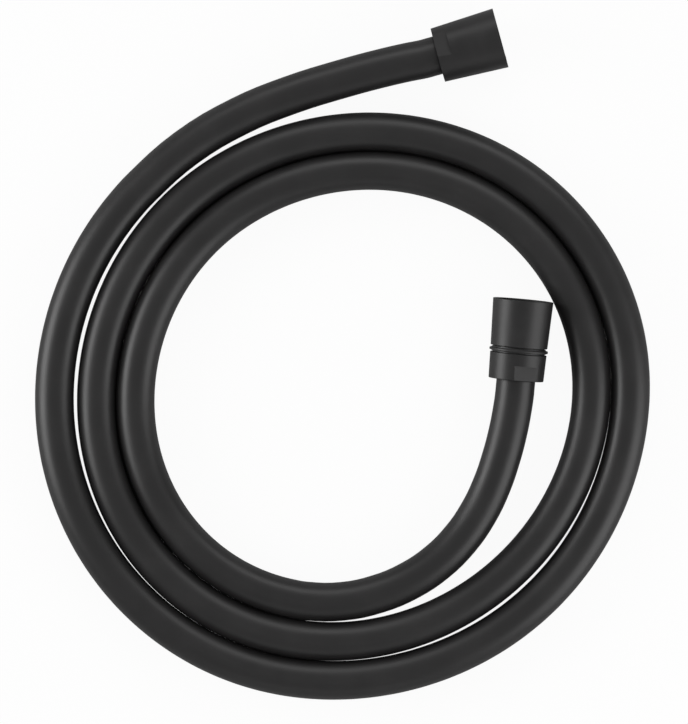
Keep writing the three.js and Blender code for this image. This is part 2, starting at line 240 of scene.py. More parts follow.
def addHose():
    route = hoseRoute()
    line = [v.co.copy() for v in curveMesh("hoseLine", route, 0).vertices]
    mesh = curveMesh("hose", route, hoseSizes["diameter"] / 2)
    length = markSurface(mesh, line)
    for face in mesh.polygons:
        face.use_smooth = True
    piece = bpy.data.objects.new("hoseTube", mesh)
    collection.objects.link(piece)
    # the wall is thinner where the hose is pressed onto a stem
    wall = piece.vertex_groups.new(name="wall")
    thinShare = hoseSizes["pressedWall"] / hoseSizes["wall"]
    toEnds = [coneMatrix.inverted(), swivelMatrix.inverted()]
    for vertex in mesh.vertices:
        share = 1.0
        for inverse in toEnds:
            place = inverse @ vertex.co
            aroundAxis = math.hypot(place.x, place.z)
            onStem = hoseSizes["pressedFrom"] < place.y < hoseSizes["pressedTo"]
            if onStem and aroundAxis < hoseSizes["diameter"] / 2:
                share = thinShare
        wall.add([vertex.index], share, "REPLACE")
    solidify = piece.modifiers.new("wall", "SOLIDIFY")
    solidify.thickness = hoseSizes["wall"]
    solidify.offset = -1
    solidify.vertex_group = "wall"
    return piece, line, length


hoseTube, hoseLine, hoseLength = addHose()
report(f"hose laid, {hoseLength:.3f} m from cut to cut, {len(hoseTube.data.vertices)} points")


# Turned pieces: a closed outline of (radius, distance along the axis) in millimetres, spun
turnedSides = 128
innerSides = 96
weldDistance = 0.002 * mm
# Angles between faces, in degrees: a flat cut's leftovers, edges to round, square corners, and
# edges that are shaded sharp
levelAngle = 0.2
edgeAngle = 20
squareAngle = 50
sharpAngle = 35
threadSizes = {
    "major": 20.96, "minor": 18.64, "pitch": 1.814, "crestWidth": 0.34,
    "rootWidth": 1.574, "buried": 0.12, "stepsPerTurn": 72, "fadeTurns": 0.6,
    "thinnest": 0.02, "weld": 0.001,
}


def spinOutline(outline, sides=turnedSides):
    bm = bmesh.new()
    corners = [bm.verts.new((radius * mm, along * mm, 0)) for radius, along in outline]
    for start, end in zip(corners, corners[1:] + corners[:1]):
        bm.edges.new((start, end))
    bmesh.ops.spin(
        bm, geom=bm.verts[:] + bm.edges[:], cent=(0, 0, 0), axis=(0, 1, 0),
        angle=2 * math.pi, steps=sides, use_merge=True, use_duplicate=False,
    )
    bmesh.ops.remove_doubles(bm, verts=bm.verts, dist=weldDistance)
    bmesh.ops.recalc_face_normals(bm, faces=bm.faces)
    return bm


def softenEdges(bm, width, fromAlong=-math.inf, toAlong=math.inf, segments=3, above=edgeAngle):
    # rounds the edges between two places along the axis
    sharp = []
    for edge in bm.edges:
        middle = (edge.verts[0].co.y + edge.verts[1].co.y) / 2
        if not edge.is_manifold or not fromAlong * mm <= middle <= toAlong * mm:
            continue
        if edge.calc_face_angle(0) > math.radians(above):
            sharp.append(edge)
    bmesh.ops.bevel(
        bm, geom=sharp, offset=width * mm, segments=segments, profile=0.5,
        affect="EDGES", material=-1, clamp_overlap=True,
    )


blockWidth = 40 * mm  # of a flat's cutter, wider than either nut


def settledMesh(name, bm):
    # puts points and faces in an order that is the same each run
    points = sorted(bm.verts, key=lambda point: [round(c / mm, 3) for c in point.co])
    for i, point in enumerate(points):
        point.index = i
    rings = []
    for face in bm.faces:
        ring = [point.index for point in face.verts]
        first = ring.index(min(ring))
        rings.append(ring[first:] + ring[:first])
    mesh = bpy.data.meshes.new(name)
    mesh.from_pydata([point.co for point in points], [], sorted(rings))
    return mesh


def addFlatsCutter(across, length, turn, side):
    block = bmesh.new()
    bmesh.ops.create_cube(block, size=1)
    bmesh.ops.scale(block, vec=(blockWidth, 2 * length * mm, across * mm), verts=block.verts)
    bmesh.ops.translate(block, vec=(0, 0, side * across * mm), verts=block.verts)
    bmesh.ops.rotate(
        block, cent=(0, 0, 0), matrix=Matrix.Rotation(math.radians(turn), 3, "Y"),
        verts=block.verts,
    )
    mesh = bpy.data.meshes.new("flatsCutter")
    block.to_mesh(mesh)
    block.free()
    cutter = bpy.data.objects.new("flatsCutter", mesh)
    collection.objects.link(cutter)
    return cutter


def cutFlats(bm, sizes):
    # two opposite flats milled into the rear end, by an exact boolean with two blocks
    blank = bpy.data.objects.new("flatsBlank", settledMesh("flatsBlank", bm))
    collection.objects.link(blank)
    cutters = []
    for side in (1, -1):
        cutter = addFlatsCutter(sizes["acrossFlats"], sizes["flatLength"], sizes["flatTurn"], side)
        cutters.append(cutter)
        cut = blank.modifiers.new("flat", "BOOLEAN")
        cut.operation = "DIFFERENCE"
        cut.solver = "EXACT"
        cut.object = cutter
    bpy.context.view_layer.update()
    shaped = blank.evaluated_get(bpy.context.evaluated_depsgraph_get())
    result = bpy.data.meshes.new_from_object(shaped)
    bm.clear()
    bm.from_mesh(result)
    for leftover in [blank, *cutters]:
        bpy.data.objects.remove(leftover)
    bpy.data.meshes.remove(result)
    bmesh.ops.dissolve_limit(
        bm, angle_limit=math.radians(levelAngle), use_dissolve_boundaries=False,
        verts=bm.verts, edges=bm.edges,
    )


def cutThread(bm, fromAlong, toAlong):
    # one right-handed ridge, screwed along the bore, that fades out at both ends
    sizes = threadSizes
    crest = sizes["minor"] / 2
    base = sizes["major"] / 2 + sizes["buried"]
    outline = [
        (base, -sizes["rootWidth"] / 2), (crest, -sizes["crestWidth"] / 2),
        (crest, sizes["crestWidth"] / 2), (base, sizes["rootWidth"] / 2),
    ]
    turns = (toAlong - fromAlong) / sizes["pitch"]
    steps = int(turns * sizes["stepsPerTurn"])
    ridge = bmesh.new()
    corners = [ridge.verts.new((r * mm, (fromAlong + a) * mm, 0)) for r, a in outline]
    face = ridge.faces.new(corners)
    bmesh.ops.spin(
        ridge, geom=[face] + face.edges[:] + corners, cent=(0, 0, 0), axis=(0, -1, 0),
        dvec=(0, (toAlong - fromAlong) / steps * mm, 0), angle=turns * 2 * math.pi, steps=steps,
    )
    bmesh.ops.remove_doubles(ridge, verts=ridge.verts, dist=sizes["weld"] * mm)
    bmesh.ops.recalc_face_normals(ridge, faces=ridge.faces)
    fadeLength = sizes["fadeTurns"] * sizes["pitch"]
    for vertex in ridge.verts:
        radius = math.hypot(vertex.co.x, vertex.co.z)
        inset = min(vertex.co.y / mm - fromAlong, toAlong - vertex.co.y / mm)
        share = min(max(inset / fadeLength, sizes["thinnest"]), 1.0)
        factor = (base * mm - (base * mm - radius) * share) / radius
        vertex.co.x *= factor
        vertex.co.z *= factor
    ridgeMesh = bpy.data.meshes.new("threadRidge")
    ridge.to_mesh(ridgeMesh)
    ridge.free()
    bm.from_mesh(ridgeMesh)
    bpy.data.meshes.remove(ridgeMesh)


def finishPiece(name, bm, matrix, body, node):
    bmesh.ops.transform(bm, matrix=matrix, verts=bm.verts)
    mesh = settledMesh(name, bm)
    bm.free()
    for face in mesh.polygons:
        face.use_smooth = True
    mesh.set_sharp_from_angle(angle=math.radians(sharpAngle))
    piece = bpy.data.objects.new(name, mesh)
    collection.objects.link(piece)
    shading = piece.modifiers.new("faceShading", "WEIGHTED_NORMAL")
    shading.keep_sharp = True
    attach(piece, body)
    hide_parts(node)
    return piece


# Conical nut: a loose nut that slides and turns on the hose, with two spanner flats
coneNutSizes = {
    "rearRadius": 10.55, "mouthRadius": 11.65, "length": 24.9,
    "rearBore": 8.0, "shoulder": 9.4, "innerRadius": 9.4,
    "threadStart": 14.9, "threadRunOut": 0.9, "threadRunOutStart": 1.6,
    "mouthChamfer": 0.35, "mouthChamferDepth": 0.6, "threadInset": 0.7,
    "acrossFlats": 19.0, "flatLength": 5.3, "flatTurn": -19.6,
    "edge": 0.22, "edgeReach": 1, "mouthEdge": 0.14, "mouthReach": 0.3,
}


def addConeNut():
    sizes = coneNutSizes
    root = threadSizes["major"] / 2
    start, mouth = sizes["threadStart"], sizes["length"]
    bm = spinOutline([
        (sizes["rearRadius"], 0), (sizes["mouthRadius"], mouth),
        (root + sizes["mouthChamfer"], mouth), (root, mouth - sizes["mouthChamferDepth"]),
        (root, start - sizes["threadRunOut"]),
        (sizes["innerRadius"], start - sizes["threadRunOutStart"]),
        (sizes["innerRadius"], sizes["shoulder"]),
        (sizes["rearBore"], sizes["shoulder"]), (sizes["rearBore"], 0),
    ])
    cutFlats(bm, sizes)
    softenEdges(bm, sizes["edge"], toAlong=sizes["flatLength"] + sizes["edgeReach"])
    softenEdges(bm, sizes["mouthEdge"], fromAlong=mouth - sizes["mouthReach"])
    cutThread(bm, start, mouth - sizes["threadInset"])
    return finishPiece("coneNut", bm, coneMatrix, "cone_nut", "cone_nut")


# Flat rings: inner and outer radius, back and front along the axis, rounding
slipRingSizes = {"inner": 8.0, "outer": 9.115, "back": 9.6, "front": 10.6, "edge": 0.15}
coneWasherSizes = {"inner": 5.2, "outer": 9.015, "back": 12.7, "front": 14.7, "edge": 0.25}
swivelWasherSizes = {"inner": 5.2, "outer": 9.115, "back": 19.4, "front": 21.4, "edge": 0.25}


def addFlatRing(name, sizes, matrix, body, node):
    inner, outer, back, front = (sizes[key] for key in ("inner", "outer", "back", "front"))
    bm = spinOutline([(inner, back), (outer, back), (outer, front), (inner, front)], innerSides)
    softenEdges(bm, sizes["edge"], above=squareAngle)
    return finishPiece(name, bm, matrix, body, node)


# Barbs that hold the hose, on both stems
barbSizes = {"crest": 4.2, "depth": 0.45, "pitch": 2.2, "tip": -1.6, "rise": 1.75, "drop": 0.1}


def barbSide(root):
    sizes = barbSizes
    low = sizes["crest"] - sizes["depth"]
    side = [(low, sizes["tip"])]
    for i in range(int((root - sizes["tip"]) / sizes["pitch"]) - 1):
        top = sizes["tip"] + i * sizes["pitch"] + sizes["rise"]
        side += [(sizes["crest"], top), (low, top + sizes["drop"])]
    side.append((low, root))
    return side


nippleSizes = {
    "waterway": 3.1, "flange": 9.015, "flangeBack": 10.9, "flangeFront": 12.5,
    "lead": 0.4, "edge": 0.12, "edgeReach": 0.4,
}


def addConeNipple():
    sizes = nippleSizes
    bore, front = sizes["waterway"], sizes["flangeFront"]
    bm = spinOutline([
        (bore, barbSizes["tip"]), *barbSide(sizes["flangeBack"]),
        (sizes["flange"], sizes["flangeBack"]), (sizes["flange"], front),
        (bore + sizes["lead"], front), (bore, front - sizes["lead"]),
    ], innerSides)
    back = sizes["flangeBack"] - sizes["edgeReach"]
    softenEdges(bm, sizes["edge"], fromAlong=back, above=squareAngle)
    return finishPiece("coneNipple", bm, coneMatrix, "root", "cone_nipple")


# Crimp sleeve: a thin ferrule with two rolled grooves, its lip turned in over the cut hose
sleeveSizes = {
    "rear": 0.9, "inner": 7.25, "outer": 7.7, "wall": 0.45, "lipBore": 4.4,
    "grooves": (0.36, 0.7), "grooveHalf": 0.55, "grooveDepth": 0.14, "edge": 0.1,
    "coneFront": 10.7, "swivelFront": 7.1,
}


def addCrimpSleeve(name, matrix, front, node):
    sizes = sleeveSizes
    rear, inner, outer, wall = (sizes[key] for key in ("rear", "inner", "outer", "wall"))
    side = [(outer, rear)]
    for share in sizes["grooves"]:
        middle = rear + (front - rear) * share
        side.append((outer, middle - sizes["grooveHalf"]))
        side.append((outer - sizes["grooveDepth"], middle))
        side.append((outer, middle + sizes["grooveHalf"]))
    bm = spinOutline([
        *side, (outer, front), (sizes["lipBore"] + wall, front),
        (sizes["lipBore"] + wall, front - wall), (inner, front - wall), (inner, rear),
    ], innerSides)
    softenEdges(bm, sizes["edge"], above=squareAngle, segments=2)
    return finishPiece(name, bm, matrix, "root", node)


coneNut = addConeNut()
coneSlipRing = addFlatRing(
    "coneSlipRing", slipRingSizes, coneMatrix, "cone_slip_ring", "cone_slip_ring",
)
coneNipple = addConeNipple()
coneSleeve = addCrimpSleeve(
    "coneCrimpSleeve", coneMatrix, sleeveSizes["coneFront"], "cone_crimp_sleeve",
)
coneWasher = addFlatRing(
    "coneWasher", coneWasherSizes, coneMatrix, "root", "cone_washer",
)
report("conical nut and its inner pieces")

# Swivel coupling: collar on the hose, proud bearing ring, and a nut that spins on the spindle
collarSizes = {
    "rearRadius": 10.55, "frontRadius": 10.85, "length": 10.1, "bore": 7.9,
    "web": 8.7, "webBore": 6.2, "acrossFlats": 19.0, "flatLength": 5.6, "flatTurn": 20.5,
    "rearEdge": 0.45, "rearReach": 0.3, "flatEdge": 0.15, "flatFrom": 1.2, "flatReach": 0.4,
    "frontEdge": 0.2, "frontReach": 0.2,
}
bearingSizes = {
    "bore": 6.2, "hub": 10.425, "hubBack": 10.2, "hubFront": 12.45,
    "rim": 11.225, "rimBack": 10.825, "rimFront": 11.775, "edge": 0.2,
    "edgeReach": 0.05, "relief": 9.95, "reliefWidth": 0.28,
}
barrelSizes = {
    "rearRadius": 10.9, "mouthRadius": 11.575, "back": 12.6, "length": 30.6,
    "webBore": 6.3, "webFront": 16.3, "chamber": 8.2, "seat": 19.2, "innerRadius": 9.4,
    "threadStart": 22.1, "threadRunOut": 0.9, "threadRunOutStart": 1.7,
    "mouthChamfer": 0.35, "mouthChamferDepth": 0.6, "threadInset": 0.7,
    "rearEdge": 0.3, "rearReach": 0.2, "mouthEdge": 0.14, "mouthReach": 0.3,
}
spindleSizes = {
    "waterway": 3.1, "flange": 7.7, "flangeBack": 7.3, "flangeFront": 8.5, "radius": 6.0,
    "ringGroove": 4.75, "ringGrooveBack": 13.6, "ringGrooveFront": 15.3,
    "clipGroove": 5.45, "clipGrooveBack": 17.1, "clipGrooveFront": 18.3,
    "front": 19.0, "lead": 0.4, "edge": 0.12, "edgeReach": 0.1,
}


def addSwivelCollar():
    sizes = collarSizes
    bm = spinOutline([
        (sizes["rearRadius"], 0), (sizes["frontRadius"], sizes["length"]),
        (sizes["webBore"], sizes["length"]), (sizes["webBore"], sizes["web"]),
        (sizes["bore"], sizes["web"]), (sizes["bore"], 0),
    ])
    cutFlats(bm, sizes)
    softenEdges(bm, sizes["rearEdge"], toAlong=sizes["rearReach"])
    flatEnd = sizes["flatLength"] + sizes["flatReach"]
    softenEdges(bm, sizes["flatEdge"], fromAlong=sizes["flatFrom"], toAlong=flatEnd)
    softenEdges(bm, sizes["frontEdge"], fromAlong=sizes["length"] - sizes["frontReach"])
    return finishPiece("swivelCollar", bm, swivelMatrix, "root", "swivel_collar")


def addBearingRing():
    sizes = bearingSizes
    rim, hub = sizes["rim"], sizes["hub"]
    back, front = sizes["rimBack"], sizes["rimFront"]
    hubBack, hubFront, relief = sizes["hubBack"], sizes["hubFront"], sizes["relief"]
    # a relief step at each end of the hub darkens the gap lines beside the rim
    stepBack, stepFront = hubBack + sizes["reliefWidth"], hubFront - sizes["reliefWidth"]
    bm = spinOutline([
        (sizes["bore"], hubBack), (relief, hubBack), (relief, stepBack), (hub, stepBack),
        (hub, back), (rim, back), (rim, front), (hub, front),
        (hub, stepFront), (relief, stepFront), (relief, hubFront), (sizes["bore"], hubFront),
    ])
    reach = sizes["edgeReach"]
    softenEdges(
        bm, sizes["edge"], fromAlong=back - reach, toAlong=front + reach, above=squareAngle,
    )
    return finishPiece(
        "swivelSlipRing", bm, swivelMatrix, "root", "swivel_slip_ring",
    )


def addSwivelNut():
    sizes = barrelSizes
    root = threadSizes["major"] / 2
    back, start, mouth = sizes["back"], sizes["threadStart"], sizes["length"]
    bm = spinOutline([
        (sizes["webBore"], back), (sizes["rearRadius"], back), (sizes["mouthRadius"], mouth),
        (root + sizes["mouthChamfer"], mouth), (root, mouth - sizes["mouthChamferDepth"]),
        (root, start - sizes["threadRunOut"]),
        (sizes["innerRadius"], start - sizes["threadRunOutStart"]),
        (sizes["innerRadius"], sizes["seat"]), (sizes["chamber"], sizes["seat"]),
        (sizes["chamber"], sizes["webFront"]), (sizes["webBore"], sizes["webFront"]),
    ])
    softenEdges(bm, sizes["rearEdge"], toAlong=back + sizes["rearReach"], above=squareAngle)
    softenEdges(bm, sizes["mouthEdge"], fromAlong=mouth - sizes["mouthReach"])
    cutThread(bm, start, mouth - sizes["threadInset"])
    return finishPiece("swivelNut", bm, swivelMatrix, "swivel_nut", "swivel_nut")


def addSpindle():
    sizes = spindleSizes
    bore, radius, front = sizes["waterway"], sizes["radius"], sizes["front"]
    outline = [
        (bore, barbSizes["tip"]), *barbSide(sizes["flangeBack"]),
        (sizes["flange"], sizes["flangeBack"]), (sizes["flange"], sizes["flangeFront"]),
        (radius, sizes["flangeFront"]),
    ]
    for groove in ("ringGroove", "clipGroove"):
        outline += [
            (radius, sizes[groove + "Back"]), (sizes[groove], sizes[groove + "Back"]),
            (sizes[groove], sizes[groove + "Front"]), (radius, sizes[groove + "Front"]),
        ]
    outline += [(radius, front), (bore + sizes["lead"], front), (bore, front - sizes["lead"])]
    bm = spinOutline(outline, innerSides)
    softenEdges(bm, sizes["edge"], fromAlong=front - sizes["edgeReach"], above=squareAngle)
    return finishPiece("swivelSpindle", bm, swivelMatrix, "root", "swivel_spindle")


swivelCollar = addSwivelCollar()
swivelSlipRing = addBearingRing()
swivelNut = addSwivelNut()
swivelSpindle = addSpindle()
swivelSleeve = addCrimpSleeve(
    "swivelCrimpSleeve", swivelMatrix, sleeveSizes["swivelFront"], "swivel_crimp_sleeve",
)
swivelWasher = addFlatRing(
    "swivelWasher", swivelWasherSizes, swivelMatrix, "swivel_nut", "swivel_washer",
)
report("swivel coupling and its inner pieces")

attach(hoseTube, "root")
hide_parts("hose")
report("hose declared")


# Materials
def newGroup(name, inputs, outputs):
    group = bpy.data.node_groups.new(name, "ShaderNodeTree")
    for label, kind, value in inputs:
        socket = group.interface.new_socket(label, in_out="INPUT", socket_type=kind)
        if value is not None:
            socket.default_value = value
    for label, kind in outputs:
        group.interface.new_socket(label, in_out="OUTPUT", socket_type=kind)
    entry = group.nodes.new("NodeGroupInput")
    leave = group.nodes.new("NodeGroupOutput")
    return group, entry, leave


def mathNode(tree, operation, first, second=None, clamp=False):
    node = tree.nodes.new("ShaderNodeMath")
    node.operation = operation
    node.use_clamp = clamp
    for slot, value in enumerate((first, second)):
        if value is None:
            continue
        if isinstance(value, bpy.types.NodeSocket):
            tree.links.new(value, node.inputs[slot])
        else:
            node.inputs[slot].default_value = value
    return node.outputs[0]


def noiseNode(tree, vector, scale, detail, roughness=0.5):
    node = tree.nodes.new("ShaderNodeTexNoise")
    node.inputs["Detail"].default_value = detail
    node.inputs["Roughness"].default_value = roughness
    tree.links.new(vector, node.inputs["Vector"])
    if isinstance(scale, bpy.types.NodeSocket):
        tree.links.new(scale, node.inputs["Scale"])
    else:
        node.inputs["Scale"].default_value = scale
    return node.outputs["Fac"]


# Inside the node groups: each noise's detail and roughness, or its scale and detail
groupLook = {
    "fineGrain": (3.0, 0.6), "slowWave": (1.0, 0.5), "cloud": (4.0, 0.55), "rub": (2.0, 0.7),
    "rubFineness": 14.0, "cleanBelow": 0.42, "handledAbove": 0.68,
    "toolLines": (2.0, 0.6), "broadLines": (900.0, 1.0),
}


def buildGrainGroup():
    # height of a fine even grain over a slow waviness
    group, entry, leave = newGroup(
        "surfaceGrain",
        [("Vector", "NodeSocketVector", None), ("Grain Scale", "NodeSocketFloat", 2500.0),
         ("Wave Scale", "NodeSocketFloat", 120.0), ("Wave Share", "NodeSocketFloat", 0.3)],
        [("Height", "NodeSocketFloat")],
    )
    place = entry.outputs["Vector"]
    fine = noiseNode(group, place, entry.outputs["Grain Scale"], *groupLook["fineGrain"])
    slow = noiseNode(group, place, entry.outputs["Wave Scale"], *groupLook["slowWave"])
    slowPart = mathNode(group, "MULTIPLY", slow, entry.outputs["Wave Share"])
    height = mathNode(group, "ADD", fine, slowPart)
    group.links.new(height, leave.inputs["Height"])
    return group


def buildHandlingGroup():
    # soft smudges with a few fine rubs, from 0 clean to 1 handled
    group, entry, leave = newGroup(
        "handlingMarks",
        [("Vector", "NodeSocketVector", None), ("Scale", "NodeSocketFloat", 60.0),
         ("Amount", "NodeSocketFloat", 0.5)],
        [("Mask", "NodeSocketFloat")],
    )
    place = entry.outputs["Vector"]
    cloud = noiseNode(group, place, entry.outputs["Scale"], *groupLook["cloud"])
    fineScale = mathNode(group, "MULTIPLY", entry.outputs["Scale"], groupLook["rubFineness"])
    rub = noiseNode(group, place, fineScale, *groupLook["rub"])
    ramp = group.nodes.new("ShaderNodeMapRange")
    ramp.inputs["From Min"].default_value = groupLook["cleanBelow"]
    ramp.inputs["From Max"].default_value = groupLook["handledAbove"]
    group.links.new(cloud, ramp.inputs["Value"])
    both = mathNode(group, "MULTIPLY", ramp.outputs["Result"], rub)
    mask = mathNode(group, "MULTIPLY", both, entry.outputs["Amount"])
    group.links.new(mask, leave.inputs["Mask"])
    return group


def buildTurningGroup():
    # fine tool lines round a turned piece; Y of the vector runs along its axis
    group, entry, leave = newGroup(
        "turningLines",
        [("Vector", "NodeSocketVector", None), ("Lines", "NodeSocketFloat", 9000.0)],
        [("Height", "NodeSocketFloat"), ("Tone", "NodeSocketFloat")],
    )
    split = group.nodes.new("ShaderNodeSeparateXYZ")
    group.links.new(entry.outputs["Vector"], split.inputs[0])
    across = mathNode(group, "POWER", split.outputs["X"], 2.0)
    up = mathNode(group, "POWER", split.outputs["Z"], 2.0)
    radius = mathNode(group, "SQRT", mathNode(group, "ADD", across, up))
    lead = mathNode(group, "ADD", radius, split.outputs["Y"])
    place = group.nodes.new("ShaderNodeCombineXYZ")
    group.links.new(lead, place.inputs["X"])
    lines = noiseNode(group, place.outputs[0], entry.outputs["Lines"], *groupLook["toolLines"])
    broad = noiseNode(group, place.outputs[0], *groupLook["broadLines"])
    group.links.new(lines, leave.inputs["Height"])
    group.links.new(broad, leave.inputs["Tone"])
    return group


grainGroup = buildGrainGroup()
handlingGroup = buildHandlingGroup()
turningGroup = buildTurningGroup()


def groupNode(tree, group, vector, **values):
    node = tree.nodes.new("ShaderNodeGroup")
    node.node_tree = group
    tree.links.new(vector, node.inputs["Vector"])
    for label, value in values.items():
        node.inputs[label.replace("_", " ")].default_value = value
    return node


def newMaterial(name):
    material = bpy.data.materials.new(name)
    material.use_nodes = True
    shader = material.node_tree.nodes["Principled BSDF"]
    return material, material.node_tree, shader


def placeOnEnd(tree, end):
    # coordinates in metres from the end's rear face, with Y along its axis
    matrix = endMatrix(end)
    source = tree.nodes.new("ShaderNodeTexCoord")
    mapping = tree.nodes.new("ShaderNodeMapping")
    mapping.vector_type = "TEXTURE"
    mapping.inputs["Location"].default_value = matrix.to_translation()
    mapping.inputs["Rotation"].default_value = matrix.to_euler("XYZ")
    tree.links.new(source.outputs["Object"], mapping.inputs["Vector"])
    return mapping.outputs["Vector"]


def bumpNode(tree, height, look, normal=None):
    distance, strength = look
    bump = tree.nodes.new("ShaderNodeBump")
    bump.inputs["Distance"].default_value = distance
    bump.inputs["Strength"].default_value = strength
    tree.links.new(height, bump.inputs["Height"])
    if normal is not None:
        tree.links.new(normal, bump.inputs["Normal"])
    return bump.outputs["Normal"]


def spread(tree, mask, low, high):
    ramp = tree.nodes.new("ShaderNodeMapRange")
    ramp.inputs["To Min"].default_value = low
    ramp.inputs["To Max"].default_value = high
    tree.links.new(mask, ramp.inputs["Value"])
    return ramp.outputs["Result"]


def blendColours(tree, mask, clean, marked):
    mix = tree.nodes.new("ShaderNodeMix")
    mix.data_type = "RGBA"
    mix.inputs["A"].default_value = (*clean, 1)
    mix.inputs["B"].default_value = (*marked, 1)
    tree.links.new(mask, mix.inputs["Factor"])
    return mix.outputs["Result"]


def paint(tree, shader, mask, look):
    # colour and roughness, both from clean to marked
    tree.links.new(spread(tree, mask, *look["roughness"]), shader.inputs["Roughness"])
    colour = blendColours(tree, mask, look["clean"], look["marked"])
    tree.links.new(colour, shader.inputs["Base Color"])


def addGrain(tree, vector, look):
    grainScale, waveScale, waveShare = look["grain"]
    grain = groupNode(
        tree, grainGroup, vector,
        Grain_Scale=grainScale, Wave_Scale=waveScale, Wave_Share=waveShare,
    )
    return grain.outputs["Height"]


def addMarks(tree, vector, look):
    scale, amount = look["marks"]
    return groupNode(tree, handlingGroup, vector, Scale=scale, Amount=amount).outputs["Mask"]


# Looks: roughness runs from clean to marked, grain is its scale, the waves' scale and their
# share, marks are their scale and amount, and each bump is a distance and a strength
hoseLook = {
    "clean": (0.0145, 0.0139, 0.0141), "marked": (0.023, 0.022, 0.0222),
    "roughness": (0.40, 0.50), "specular": 0.5,
    "dieStretch": (1, 1, 0.012), "dieLines": (900.0, 3.0, 0.6), "lineBump": (0.02 * mm, 0.5),
    "grain": (3200.0, 140.0, 0.5), "grainBump": (0.012 * mm, 0.5), "marks": (55.0, 0.9),
}
coatLook = {
    "clean": (0.0125, 0.0120, 0.0122), "marked": (0.022, 0.0212, 0.0214),
    "roughness": (0.42, 0.52), "lines": 5200.0, "lineBump": (0.006 * mm, 0.35),
    "grain": (1500.0, 260.0, 0.6), "grainBump": (0.010 * mm, 0.5), "marks": (90.0, 0.9),
}
metalLines = {"lines": 7000.0, "lineBump": (0.008 * mm, 0.5), "metallic": 1.0}
brassLook = {
    "clean": (0.62, 0.45, 0.20), "marked": (0.52, 0.36, 0.15), "roughness": (0.22, 0.36),
}
steelLook = {
    "clean": (0.55, 0.56, 0.57), "marked": (0.47, 0.48, 0.49), "roughness": (0.25, 0.4),
}
springLook = {
    "clean": (0.5, 0.5, 0.51), "marked": (0.42, 0.42, 0.43), "roughness": (0.25, 0.35),
}
softSkin = {"grainBump": (0.015 * mm, 0.5), "marks": (120.0, 1.0)}
washerLook = {
    "clean": (0.012, 0.012, 0.012), "marked": (0.03, 0.03, 0.03), "roughness": (0.6, 0.75),
    "grain": (2600.0, 200.0, 0.4),
}
sealLook = {
    "clean": (0.010, 0.010, 0.010), "marked": (0.02, 0.02, 0.02), "roughness": (0.5, 0.6),
    "grain": (2600.0, 200.0, 0.4),
}
nylonLook = {
    "clean": (0.76, 0.74, 0.68), "marked": (0.66, 0.64, 0.58), "roughness": (0.4, 0.5),
    "grain": (1800.0, 200.0, 0.4),
}
acetalLook = {
    "clean": (0.014, 0.0137, 0.0139), "marked": (0.024, 0.024, 0.024), "roughness": (0.4, 0.5),
    "grain": (1800.0, 200.0, 0.4),
}


def hoseMaterial():
    # soft PVC: faint die lines along the hose under a fine even grain
    look = hoseLook
    material, tree, shader = newMaterial("hosePvc")
    place = tree.nodes.new("ShaderNodeTexCoord").outputs["Object"]
    surface = tree.nodes.new("ShaderNodeAttribute")
    surface.attribute_name = "hoseSurface"
    stretch = tree.nodes.new("ShaderNodeMapping")
    stretch.inputs["Scale"].default_value = look["dieStretch"]
    tree.links.new(surface.outputs["Vector"], stretch.inputs["Vector"])
    dieLines = noiseNode(tree, stretch.outputs["Vector"], *look["dieLines"])
    paint(tree, shader, addMarks(tree, place, look), look)
    lines = bumpNode(tree, dieLines, look["lineBump"])
    normal = bumpNode(tree, addGrain(tree, place, look), look["grainBump"], lines)
    tree.links.new(normal, shader.inputs["Normal"])
    shader.inputs["Specular IOR Level"].default_value = look["specular"]
    return material


def coatedMaterial(name, end):
    # black coat on brass: fine orange peel over faint tool lines
    look = coatLook
    material, tree, shader = newMaterial(name)
    place = placeOnEnd(tree, end)
    turning = groupNode(tree, turningGroup, place, Lines=look["lines"])
    paint(tree, shader, addMarks(tree, place, look), look)
    lines = bumpNode(tree, turning.outputs["Height"], look["lineBump"])
    normal = bumpNode(tree, addGrain(tree, place, look), look["grainBump"], lines)
    tree.links.new(normal, shader.inputs["Normal"])
    return material


def metalMaterial(name, end, look):
    material, tree, shader = newMaterial(name)
    turning = groupNode(tree, turningGroup, placeOnEnd(tree, end), Lines=metalLines["lines"])
    paint(tree, shader, turning.outputs["Tone"], look)
    normal = bumpNode(tree, turning.outputs["Height"], metalLines["lineBump"])
    tree.links.new(normal, shader.inputs["Normal"])
    shader.inputs["Metallic"].default_value = metalLines["metallic"]
    return material


def softMaterial(name, end, look):
    material, tree, shader = newMaterial(name)
    place = placeOnEnd(tree, end)
    paint(tree, shader, addMarks(tree, place, softSkin), look)
    normal = bumpNode(tree, addGrain(tree, place, look), softSkin["grainBump"])
    tree.links.new(normal, shader.inputs["Normal"])
    return material


def dress(piece, material):
    piece.data.materials.clear()
    piece.data.materials.append(material)


def dressEnd(label, end, coated, brassPiece, steelPiece, rubberPiece):
    coat = coatedMaterial("coatedBrass" + label, end)
    for piece in coated:
        dress(piece, coat)
    dress(brassPiece, metalMaterial("turnedBrass" + label, end, brassLook))
    dress(steelPiece, metalMaterial("rolledSteel" + label, end, steelLook))
    dress(rubberPiece, softMaterial("washerRubber" + label, end, washerLook))


dress(hoseTube, hoseMaterial())
dressEnd("Cone", coneEnd, [coneNut], coneNipple, coneSleeve, coneWasher)
dressEnd(
    "Swivel", swivelEnd, [swivelCollar, swivelNut], swivelSpindle, swivelSleeve, swivelWasher,
)
dress(coneSlipRing, softMaterial("naturalNylon", coneEnd, nylonLook))
dress(swivelSlipRing, softMaterial("acetalBlack", swivelEnd, acetalLook))
dress(nodes["swivel_o_ring"], softMaterial("ringRubber", swivelEnd, sealLook))
dress(nodes["swivel_circlip"], metalMaterial("springSteel", swivelEnd, springLook))
dress(nodes["swivel_thrust_washer"], softMaterial("thrustNylon", swivelEnd, nylonLook))
report("materials")

